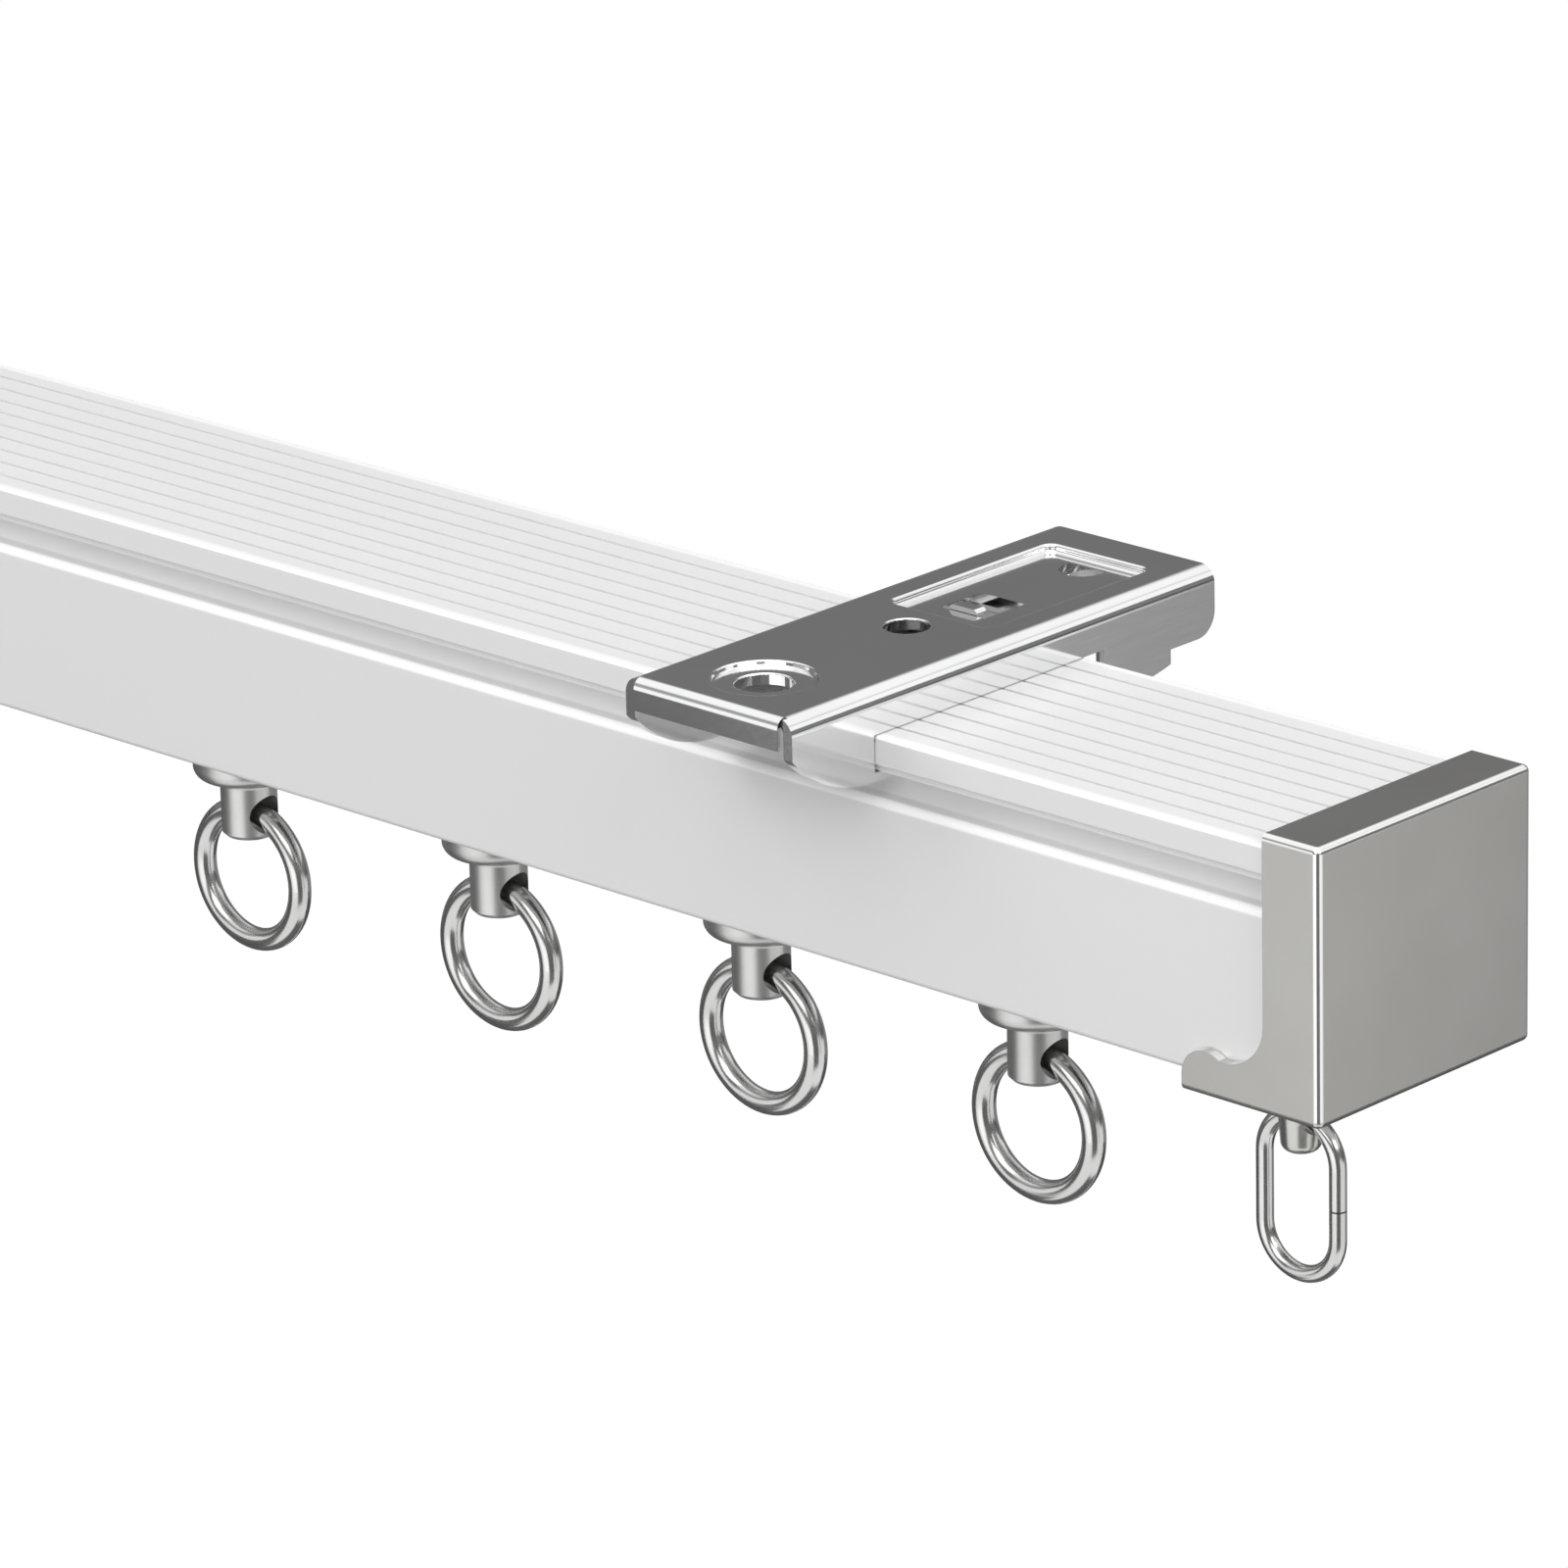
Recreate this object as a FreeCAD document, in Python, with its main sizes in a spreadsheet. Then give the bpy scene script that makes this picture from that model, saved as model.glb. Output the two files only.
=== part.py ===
import FreeCAD, Part
import math
import os
from types import SimpleNamespace

import Sketcher

# A short ceiling-fixed curtain track. Millimetres, +Z up.
# The origin lies in the ceiling plane, at mid-length, over the rail's centre line.
# +X runs along the rail and +Y from the brackets' front lips towards the window.

SIZES = [
    ("overall_length", 400.0, "end face to end face of the caps"),
    ("wall_width", 25.0, "rail, outside its side walls"),
    ("body_height", 15.7, "rail, from its underside to the shoulder"),
    ("wall_thickness", 1.4, "rail side wall"),
    ("floor_thickness", 1.6, "rail floor beside the slot"),
    ("slot_width", 7.0, "rail, open slot underneath"),
    ("corner_radius", 0.5, "rail, lower outside corners"),
    ("shoulder_radius", 0.75, "rail, upper outside corners"),
    ("flute_radius", 1.8, "rail, round groove below the flange"),
    ("neck_height", 0.9, "rail, straight part of the neck"),
    ("flute_wall", 1.3, "rail, wall round the groove"),
    ("flange_thickness", 3.2, "rail, top flange"),
    ("flange_overhang", 0.7, "rail, flange beyond the side wall"),
    ("flange_edge_radius", 0.3, "rail, flange edges"),
    ("flange_lip_height", 2.6, "rail, upper part of the flange's edge"),
    ("flange_step", 0.4, "rail, lower part of the flange's edge set back"),
    ("flange_step_radius", 0.15, "rail, lower corner of the flange's edge"),
    ("roof_thickness", 1.5, "rail, roof of the channel"),
    ("rib_pitch", 2.6, "rail, pitch of the fine grooves on top"),
    ("rib_count", 9, "rail, number of the fine grooves"),
    ("rib_width", 0.35, "rail, width of a fine groove"),
    ("rib_depth", 0.25, "rail, depth of a fine groove"),
    ("collar_thickness", 5.9, "cap, along the rail"),
    ("collar_rise", 1.1, "cap, above the rail's top"),
    ("cheek_thickness", 1.0, "cap, beyond the rail's side wall"),
    ("foot_thickness", 1.4, "cap, below the rail"),
    ("foot_length", 14.6, "cap, from its end face to the foot's end"),
    ("sweep_radius", 4.2, "cap, hollow sweep from collar to foot"),
    ("sweep_height", 7.7, "cap, start of the sweep above the cap's underside"),
    ("hump_radius", 2.5, "cap, hump on the cheek's end"),
    ("hump_height", 4.0, "cap, hump above the cap's underside"),
    ("cap_edge_radius", 0.6, "cap, outer edges"),
    ("cap_gap", 0.1, "cap to the rail's outside"),
    ("plug_gap", 0.15, "cap's plug to the rail's inside"),
    ("plug_height", 9.0, "cap, plug in the channel"),
    ("lug_setback", 13.3, "cap, lug centre from the end face"),
    ("lug_diameter", 3.5, "cap, lug at its end"),
    ("lug_root_diameter", 4.6, "cap, lug below its flare"),
    ("lug_drop", 9.0, "cap, lug below the cap's underside"),
    ("lug_tip_radius", 0.9, "cap, round edge at the lug's end"),
    ("lug_flare", 0.7, "cap, flare at the lug's root"),
    ("lug_hole_rise", 3.2, "cap, cross hole above the lug's end"),
    ("cap_screw_diameter", 3.0, "set screw"),
    ("cap_screw_length", 5.2, "set screw"),
    ("cap_screw_socket", 1.5, "set screw, across the socket's flats"),
    ("cap_screw_socket_depth", 1.6, "set screw"),
    ("cap_screw_setback", 10.2, "set screw from the end face"),
    ("cap_screw_offset", 7.0, "set screw beside the centre line"),
    ("cap_screw_recess", 0.2, "set screw above the cap's underside"),
    ("thread_gap", 0.05, "set screw to the cap's hole, each side"),
    ("screw_gap", 0.2, "set screw to the rail's hole, each side"),
    ("link_wire", 1.5, "end link, wire diameter"),
    ("link_width", 9.4, "end link, outside"),
    ("link_height", 15.6, "end link, outside"),
    ("link_joint_gap", 0.15, "end link, butt joint"),
    ("link_joint_drop", 7.55, "end link, butt joint below the lug's hole"),
    ("hang_drop", 0.05, "hanging wire, centre below the centre of its hole"),
    ("wire_gap", 0.13, "hanging wire to the lower edge of its hole's mouth"),
    ("bracket_setback", 57.7, "bracket centre from the cap's end face"),
    ("bracket_width", 19.0, "bracket, outside"),
    ("bracket_front", 23.6, "bracket, front lip from the rail's centre line"),
    ("bracket_rear", 30.0, "bracket, rear end from the rail's centre line"),
    ("bracket_sheet", 1.0, "bracket, sheet thickness"),
    ("bracket_bend", 1.5, "bracket, outer radius of the side bends"),
    ("lip_height", 2.8, "bracket, front lip"),
    ("lip_slit", 0.3, "bracket, slit beside the front lip"),
    ("flange_setback", 0.4, "bracket, side flange behind the front lip's face"),
    ("front_lobe_radius", 13.0, "bracket, front lobe of the side flange"),
    ("front_lobe_centre", 13.5, "bracket, front lobe ahead of the centre line"),
    ("hook_thickness", 0.75, "bracket, hook below the rail's flange"),
    ("hook_reach", 3.3, "bracket, hook tip behind the notch's front"),
    ("notch_gap", 0.1, "bracket to the edge of the rail's flange"),
    ("clip_gap", 0.05, "bracket to the rail's flange, above and below"),
    ("notch_rear", 15.65, "bracket, rear edge of the notch"),
    ("rear_lobe_depth", 8.1, "bracket, rear lobe below the ceiling"),
    ("rear_lobe_radius", 19.3, "bracket, underside of the rear lobe"),
    ("rear_lobe_centre", 19.0, "bracket, lowest point of the rear lobe"),
    ("rear_lobe_chamfer", 0.6, "bracket, front corner of the rear lobe"),
    ("rear_step", 24.2, "bracket, step in the flange's lower edge"),
    ("rear_depth", 6.07, "bracket, side flange behind the step"),
    ("rear_corner", 2.2, "bracket, rear lower corner"),
    ("recess_width", 11.4, "bracket, pressed recess"),
    ("recess_front", 5.1, "bracket, pressed recess"),
    ("recess_rear", 25.8, "bracket, pressed recess"),
    ("recess_depth", 0.65, "bracket, pressed recess"),
    ("recess_corner", 0.9, "bracket, corners of the recess in plan"),
    ("recess_edge_radius", 0.3, "bracket, upper edge of the recess"),
    ("recess_floor_radius", 0.25, "bracket, floor edge of the recess"),
    ("recess_under_radius", 0.4, "bracket, underside of the recess"),
    ("recess_spread", 0.25, "bracket, recess wider underneath"),
    ("window_width", 5.0, "bracket, window for the latch's tongue"),
    ("window_front", 8.2, "bracket, window"),
    ("window_rear", 13.3, "bracket, window"),
    ("tab_width", 4.0, "bracket, half-moon tab pressed down"),
    ("tab_length", 2.6, "bracket, half-moon tab"),
    ("tab_place", 24.2, "bracket, half-moon tab's front face"),
    ("screw_hole_place", 16.4, "bracket, screw hole ahead of the centre line"),
    ("screw_hole_diameter", 5.0, "bracket, screw hole"),
    ("dish_diameter", 9.2, "bracket, dish round the screw hole"),
    ("dish_floor_diameter", 8.8, "bracket, floor of the dish"),
    ("dish_depth", 0.45, "bracket, dish"),
    ("dish_spread", 0.25, "bracket, dish wider underneath"),
    ("dish_round", 0.2, "bracket, edges of the dish"),
    ("small_hole_diameter", 4.0, "bracket, small hole"),
    ("small_hole_place", 1.2, "bracket, small hole behind the centre line"),
    ("hole_edge_radius", 0.15, "bracket, upper edges of both holes"),
    ("latch_sheet", 1.2, "latch, sheet thickness"),
    ("latch_side_gap", 0.5, "latch to the bracket's side flange"),
    ("latch_gap", 0.525, "latch plate to the recess above and the rail below"),
    ("latch_edge_gap", 0.2, "latch to the edge of the rail's flange"),
    ("latch_bend", 1.4, "latch, outer radius of its bend"),
    ("claw_gap", 0.1, "latch claw to the flange's underside"),
    ("claw_thickness", 1.1, "latch claw"),
    ("claw_reach", 2.8, "latch claw below the flange"),
    ("claw_spacing", 6.8, "latch, between the two claws"),
    ("thumb_width", 6.0, "latch, thumb tab"),
    ("thumb_drop", 3.4, "latch, thumb tab below the claws"),
    ("tongue_width", 3.2, "latch, tongue in the window"),
    ("tongue_gap", 0.1, "latch tongue to the window's front edge"),
    ("tongue_clear", 0.15, "latch tongue below the ceiling"),
    ("tongue_round", 0.5, "latch, corners of tongue and thumb tab"),
    ("peg_diameter", 1.8, "latch, peg for the spring"),
    ("peg_length", 1.5, "latch, peg for the spring"),
    ("spring_diameter", 3.2, "latch spring, outside"),
    ("spring_wire", 0.5, "latch spring, wire"),
    ("spring_turns", 6.0, "latch spring"),
    ("spring_end_gap", 0.1, "latch spring to its seats"),
    ("spring_headroom", 0.3, "latch spring below the recess"),
    ("runners_per_end", 4, "runners in each half of the track"),
    ("runner_setback", 42.4, "first runner from the cap's end face"),
    ("runner_pitch", 32.1, "runner to runner"),
    ("wheel_diameter", 10.0, "runner wheel"),
    ("wheel_thickness", 4.0, "runner wheel"),
    ("wheel_track", 8.0, "inner face to inner face of the wheels"),
    ("wheel_gap", 0.25, "wheel to the rail's floor"),
    ("wheel_chamfer", 0.4, "runner wheel, edges"),
    ("hub_diameter", 3.8, "runner wheel, hub beside the hanger"),
    ("axle_diameter", 2.0, "runner axle"),
    ("axle_stub", 0.5, "runner axle beyond the wheel"),
    ("axle_fit", 0.05, "runner axle in its bore, radial"),
    ("hub_gap", 0.2, "hub to the hanger"),
    ("hanger_width", 9.0, "hanger, along the rail"),
    ("hanger_thickness", 5.6, "hanger, across the rail"),
    ("hanger_drop", 1.4, "hanger below the rail"),
    ("pin_diameter", 2.5, "eye, pin"),
    ("pin_fit", 0.05, "eye, pin in the hanger, radial"),
    ("pin_head_diameter", 3.8, "eye, head on the pin"),
    ("pin_head_thickness", 1.2, "eye, head on the pin"),
    ("pin_head_rise", 4.8, "eye, underside of the head above the hanger's underside"),
    ("pin_head_gap", 0.2, "eye, head in its chamber, radial and above"),
    ("pin_head_seat", 0.1, "eye, head to the chamber's floor"),
    ("collar_gap", 0.3, "eye's collar to the hanger"),
    ("eye_collar_diameter", 10.0, "eye, collar"),
    ("eye_rim_height", 2.75, "eye, straight rim of the collar"),
    ("eye_round", 1.2, "eye, lower edge of the collar"),
    ("eye_root_round", 0.7, "eye, from the collar's underside to the stem"),
    ("eye_collar_edge", 0.3, "eye, top edge of the collar"),
    ("stem_diameter", 5.2, "eye, stem"),
    ("stem_length", 9.55, "eye, stem's end below the collar's top"),
    ("stem_chamfer", 0.4, "eye, stem's end"),
    ("eye_wall", 0.5, "eye, below its cross hole"),
    ("ring_diameter", 14.6, "ring, outside"),
    ("ring_wire", 2.1, "ring, wire"),
]


class Size:
    """A length that keeps its value in millimetres beside the expression that binds to it."""

    def __init__(self, value, text):
        self.value = value
        self.text = text

    def __add__(self, other):
        other = as_size(other)
        return Size(self.value + other.value, "(%s + %s)" % (self.text, other.text))

    def __sub__(self, other):
        other = as_size(other)
        return Size(self.value - other.value, "(%s - %s)" % (self.text, other.text))

    def __mul__(self, other):
        other = as_size(other)
        return Size(self.value * other.value, "(%s * %s)" % (self.text, other.text))

    def __truediv__(self, other):
        other = as_size(other)
        return Size(self.value / other.value, "(%s / %s)" % (self.text, other.text))

    def __neg__(self):
        return Size(-self.value, "(0 - %s)" % self.text)

    def root(self):
        return Size(math.sqrt(self.value), "sqrt(%s)" % self.text)


def as_size(value):
    """A plain number or a Size, as a Size."""
    if isinstance(value, Size):
        return value
    return Size(float(value), "%g" % value)


doc = FreeCAD.newDocument("CurtainTrack")
sheet = doc.addObject("Spreadsheet::Sheet", "Sizes")
sheet.Label = "Sizes"
for row, (alias, number, note) in enumerate(SIZES, start=1):
    sheet.set("A%d" % row, alias)
    sheet.set("B%d" % row, "%g" % number)
    sheet.set("C%d" % row, note)
    sheet.setAlias("B%d" % row, alias)
doc.recompute()
d = SimpleNamespace(**{alias: Size(float(sheet.get(alias)), "Sizes." + alias) for alias, _, _ in SIZES})

ZERO = as_size(0)
BEYOND = as_size(2)


def hanging_hole(wire, bend_radius, half_length):
    """Diameter of the hole in which a bent wire hangs, with the wire gap left at both its mouths."""
    sag = bend_radius - (bend_radius * bend_radius - half_length * half_length).root()
    return wire + (sag + d.hang_drop + d.wire_gap) * 2


# Heights and half widths that several pieces share, worked out from the driving sizes.
recess_floor = -d.recess_depth
recess_under = recess_floor - d.bracket_sheet
latch_top = recess_under - d.latch_gap
latch_under = latch_top - d.latch_sheet
rail_top = latch_under - d.latch_gap
flange_under = rail_top - d.flange_thickness
flute_height = flange_under - d.neck_height
shoulder = flute_height - d.flute_radius
rail_under = shoulder - d.body_height
rail_floor = rail_under + d.floor_thickness
cap_top = rail_top + d.collar_rise
cap_under = rail_under - d.foot_thickness
wall_half = d.wall_width / 2
flange_half = wall_half + d.flange_overhang
cap_half = wall_half + d.cheek_thickness
inner_half = wall_half - d.wall_thickness
slot_half = d.slot_width / 2
track_end = d.overall_length / 2
rail_length = d.overall_length - d.collar_thickness * 2
lug_taper = (d.lug_root_diameter - d.lug_diameter) / 2
lug_taper_height = d.lug_drop - d.lug_tip_radius - d.lug_flare
lug_half = d.lug_diameter / 2 + lug_taper * (d.lug_hole_rise - d.lug_tip_radius) / lug_taper_height
lug_hole_height = cap_under - d.lug_drop + d.lug_hole_rise
link_bend_radius = (d.link_width - d.link_wire) / 2
lug_hole_diameter = hanging_hole(d.link_wire, link_bend_radius, lug_half)
axle_height = rail_floor + d.wheel_gap + d.wheel_diameter / 2
hanger_under = rail_under - d.hanger_drop
eye_top = hanger_under - d.collar_gap
ring_radius = (d.ring_diameter - d.ring_wire) / 2
eye_hole_diameter = hanging_hole(d.ring_wire, ring_radius, d.stem_diameter / 2)
eye_hole_height = eye_top - d.stem_length + d.eye_wall + eye_hole_diameter / 2
latch_face = flange_half + d.latch_edge_gap
latch_back = latch_face + d.latch_sheet
latch_half = d.bracket_width / 2 - d.bracket_sheet - d.latch_side_gap
spring_height = recess_under - d.spring_headroom - d.spring_diameter / 2


def bind(item, name, size):
    """Ties one property to the sizes."""
    item.setExpression(name, as_size(size).text)


def bind_place(item, x=ZERO, y=ZERO, z=ZERO, turn=None):
    """Ties an object's placement to the sizes, after an optional fixed turn."""
    if turn is not None:
        item.Placement = FreeCAD.Placement(FreeCAD.Vector(0, 0, 0), turn)
    bind(item, "Placement.Base.x", x)
    bind(item, "Placement.Base.y", y)
    bind(item, "Placement.Base.z", z)


def new_body(label):
    body = doc.addObject("PartDesign::Body", label)
    body.Label = label
    return body


def new_sketch(body, name, role, shift=(ZERO, ZERO, ZERO)):
    """A sketch on one of the body's own planes, moved in that plane's own directions."""
    sketch = body.newObject("Sketcher::SketchObject", name)
    plane = [item for item in body.Origin.OriginFeatures if item.Role == role][0]
    sketch.AttachmentSupport = [(plane, "")]
    sketch.MapMode = "FlatFace"
    for direction, size in zip("xyz", shift):
        bind(sketch, "AttachmentOffset.Base." + direction, size)
    return sketch


def pin_point(constraints, bindings, geometry, point, x=None, y=None):
    """Holds one point of the sketch at x and y from its origin, each tied to its size."""
    for kind, size in (("DistanceX", x), ("DistanceY", y)):
        if size is None:
            continue
        bindings.append((len(constraints), size))
        constraints.append(Sketcher.Constraint(kind, -1, 1, geometry, point, size.value))


def as_corner(corner):
    """A corner with its coordinates as Sizes; the turn of an arc stays as it is."""
    sizes = [None if value is None else as_size(value) for value in corner[:4]]
    return tuple(sizes) + tuple(corner[4:])


def corner_position(corner, previous):
    """Where a corner lies; a coordinate left out follows from the arc that arrives there."""
    x, y = corner[0], corner[1]
    if x is not None and y is not None:
        return x.value, y.value
    centre_x, centre_y = corner[2].value, corner[3].value
    radius = math.hypot(previous[0] - centre_x, previous[1] - centre_y)
    if y is None:
        rise = math.sqrt(radius ** 2 - (x.value - centre_x) ** 2)
        return x.value, centre_y + math.copysign(rise, previous[1] - centre_y)
    reach = math.sqrt(radius ** 2 - (y.value - centre_y) ** 2)
    return centre_x + math.copysign(reach, previous[0] - centre_x), y.value


def add_loop(sketch, corners, closed=True):
    """Joins the corners by lines, or by an arc where a corner names a centre and a turn.

    A corner is (x, y), or (x, y, centre x, centre y, turn) with turn +1 for anticlockwise.
    """
    corners = [as_corner(corner) for corner in corners]
    places = []
    for corner in corners:
        places.append(corner_position(corner, places[-1] if places else None))
    first = len(sketch.Geometry)
    shapes, ends = [], []
    edges = [(index - 1, index) for index in range(0 if closed else 1, len(corners))]
    for start, end in edges:
        corner = corners[end]
        start_point = FreeCAD.Vector(places[start][0], places[start][1], 0)
        end_point = FreeCAD.Vector(places[end][0], places[end][1], 0)
        if len(corner) == 2:
            shapes.append(Part.LineSegment(start_point, end_point))
            ends.append((1, 2))
            continue
        centre = FreeCAD.Vector(corner[2].value, corner[3].value, 0)
        circle = Part.Circle(centre, FreeCAD.Vector(0, 0, 1), (start_point - centre).Length)
        start_angle = math.atan2(start_point.y - centre.y, start_point.x - centre.x)
        end_angle = math.atan2(end_point.y - centre.y, end_point.x - centre.x)
        if corner[4] > 0:
            shapes.append(Part.ArcOfCircle(circle, start_angle, end_angle))
            ends.append((1, 2))
        else:
            shapes.append(Part.ArcOfCircle(circle, end_angle, start_angle))
            ends.append((2, 1))
    sketch.addGeometry(shapes, False)
    constraints, bindings = [], []
    for number, (start, end) in enumerate(edges):
        corner = corners[end]
        geometry, point = first + number, ends[number][1]
        following = number + 1
        if following < len(edges) or closed:
            following %= len(edges)
            constraints.append(
                Sketcher.Constraint("Coincident", geometry, point, first + following, ends[following][0]))
        if len(corner) == 2:
            pin_point(constraints, bindings, geometry, point, corner[0], corner[1])
            continue
        pin_point(constraints, bindings, geometry, 3, corner[2], corner[3])
        sideways = abs(places[end][0] - corner[2].value) > abs(places[end][1] - corner[3].value)
        if corner[1] is None or (corner[0] is not None and not sideways):
            pin_point(constraints, bindings, geometry, point, x=corner[0])
        else:
            pin_point(constraints, bindings, geometry, point, y=corner[1])
    if not closed:
        pin_point(constraints, bindings, first, ends[0][0], corners[0][0], corners[0][1])
    add_constraints(sketch, constraints, bindings)


def add_circle(sketch, x, y, diameter):
    number = len(sketch.Geometry)
    centre = FreeCAD.Vector(as_size(x).value, as_size(y).value, 0)
    radius = diameter.value / 2
    sketch.addGeometry(Part.Circle(centre, FreeCAD.Vector(0, 0, 1), radius), False)
    constraints, bindings = [], []
    pin_point(constraints, bindings, number, 3, as_size(x), as_size(y))
    bindings.append((len(constraints), diameter))
    constraints.append(Sketcher.Constraint("Diameter", number, diameter.value))
    add_constraints(sketch, constraints, bindings)


def add_constraints(sketch, constraints, bindings):
    first = sketch.ConstraintCount
    sketch.addConstraint(constraints)
    for number, size in bindings:
        sketch.setExpression("Constraints[%d]" % (first + number), size.text)


def box_corners(left, right, low, high):
    return [(left, low), (right, low), (right, high), (left, high)]


def round_box_corners(left, right, low, high, radius):
    """A rectangle whose four corners are round, anticlockwise from its lower edge."""
    return [
        (left + radius, low),
        (right - radius, low),
        (right, low + radius, right - radius, low + radius, 1),
        (right, high - radius),
        (right - radius, high, right - radius, high - radius, 1),
        (left + radius, high),
        (left, high - radius, left + radius, high - radius, 1),
        (left, low + radius),
        (left + radius, low, left + radius, low + radius, 1),
    ][1:]


def mirror_back(corners):
    """The mirror image of the corners about the upright axis, met in the opposite order."""
    result = []
    for index in range(len(corners) - 1, -1, -1):
        corner = (-corners[index][0], corners[index][1])
        after = corners[index + 1] if index + 1 < len(corners) else ()
        if len(after) > 2:
            corner += (-after[2], after[3], after[4])
        result.append(corner)
    return result


def set_extent(feature, length, both_ways, reverse):
    if length is None:
        feature.Type = "ThroughAll"
    else:
        bind(feature, "Length", length)
    feature.SideType = "Symmetric" if both_ways else "One side"
    feature.Reversed = reverse


def pad(body, sketch, length, both_ways=False, reverse=False):
    feature = body.newObject("PartDesign::Pad", sketch.Name + "Pad")
    feature.Profile = sketch
    set_extent(feature, length, both_ways, reverse)
    doc.recompute()
    return feature


def require_cut(body, before):
    """Stops if the last cut took nothing away."""
    if body.Tip.Shape.Volume > before - 1e-6:
        raise ValueError("%s: %s cuts nothing" % (body.Label, body.Tip.Name))


def pocket(body, sketch, length=None, both_ways=False, reverse=False):
    before = body.Tip.Shape.Volume
    feature = body.newObject("PartDesign::Pocket", sketch.Name + "Pocket")
    feature.Profile = sketch
    set_extent(feature, length, both_ways, reverse)
    doc.recompute()
    require_cut(body, before)
    return feature


def revolve(body, sketch, axis="V_Axis", cut=False):
    before = 0 if body.Tip is None else body.Tip.Shape.Volume
    kind = "Groove" if cut else "Revolution"
    feature = body.newObject("PartDesign::" + kind, sketch.Name + kind)
    feature.Profile = sketch
    feature.ReferenceAxis = (sketch, [axis])
    feature.Angle = 360
    doc.recompute()
    if cut:
        require_cut(body, before)
    return feature


def edges_where(feature, test):
    """Names of the edges whose every corner, and whose middle, passes the test."""
    names = []
    for number, edge in enumerate(feature.Shape.Edges, start=1):
        middle = edge.valueAt((edge.FirstParameter + edge.LastParameter) / 2)
        if all(test(point) for point in [middle] + [vertex.Point for vertex in edge.Vertexes]):
            names.append("Edge%d" % number)
    return names


def fillet(body, radius, test):
    base = body.Tip
    names = edges_where(base, test)
    if not names:
        raise ValueError("%s: no edge to round" % body.Label)
    feature = body.newObject("PartDesign::Fillet", "Round")
    feature.Base = (base, names)
    bind(feature, "Radius", radius)
    doc.recompute()
    return feature


def near(value, size, tolerance=1e-4):
    return abs(value - as_size(size).value) < tolerance


# Rail. One extrusion, its section drawn across the track.
def make_rail():
    body = new_body("rail")
    edge = d.flange_edge_radius
    step_half = flange_half - d.flange_step
    step_edge = d.flange_step_radius
    lip_under = rail_top - d.flange_lip_height
    lower = d.corner_radius
    upper = d.shoulder_radius
    lower_flat = wall_half - lower
    upper_flat = wall_half - upper
    outside = [
        (slot_half, rail_under),
        (lower_flat, rail_under),
        (wall_half, rail_under + lower, lower_flat, rail_under + lower, 1),
        (wall_half, shoulder - upper),
        (upper_flat, shoulder, upper_flat, shoulder - upper, 1),
        (inner_half, shoulder),
        (inner_half - d.flute_radius, flute_height, inner_half, flute_height, -1),
        (inner_half - d.flute_radius, flange_under),
        (step_half - step_edge, flange_under),
        (step_half, flange_under + step_edge, step_half - step_edge, flange_under + step_edge, 1),
        (step_half, lip_under),
        (flange_half - edge, lip_under),
        (flange_half, lip_under + edge, flange_half - edge, lip_under + edge, 1),
        (flange_half, rail_top - edge),
        (flange_half - edge, rail_top, flange_half - edge, rail_top - edge, 1),
    ]
    inner_round = d.flute_radius + d.flute_wall
    inside = [
        (inner_half - inner_round, rail_top - d.roof_thickness),
        (inner_half - inner_round, flute_height),
        (inner_half, flute_height - inner_round, inner_half, flute_height, 1),
        (inner_half, rail_floor),
        (slot_half, rail_floor),
    ]
    section = new_sketch(body, "RailSection", "YZ_Plane")
    add_loop(section, outside + mirror_back(outside) + mirror_back(inside) + inside)
    pad(body, section, rail_length, both_ways=True)
    first_rib = -(d.rib_pitch * (d.rib_count - 1) / 2)
    rib = new_sketch(body, "Rib", "YZ_Plane")
    half = d.rib_width / 2
    add_loop(rib, box_corners(first_rib - half, first_rib + half, rail_top - d.rib_depth, rail_top + BEYOND))
    cut = pocket(body, rib, both_ways=True)
    ribs = body.newObject("PartDesign::LinearPattern", "Ribs")
    ribs.Originals = [cut]
    ribs.Direction = (rib, ["H_Axis"])
    bind(ribs, "Length", d.rib_pitch * (d.rib_count - 1))
    bind(ribs, "Occurrences", d.rib_count)
    body.Tip = ribs
    doc.recompute()
    holes = new_sketch(body, "ScrewHoles", "XY_Plane", (ZERO, ZERO, rail_under))
    hole_x = track_end - d.cap_screw_setback
    hole_diameter = d.cap_screw_diameter + d.screw_gap * 2
    add_circle(holes, hole_x, -d.cap_screw_offset, hole_diameter)
    add_circle(holes, -hole_x, d.cap_screw_offset, hole_diameter)
    pocket(body, holes, d.floor_thickness, reverse=True)
    return body


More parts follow.
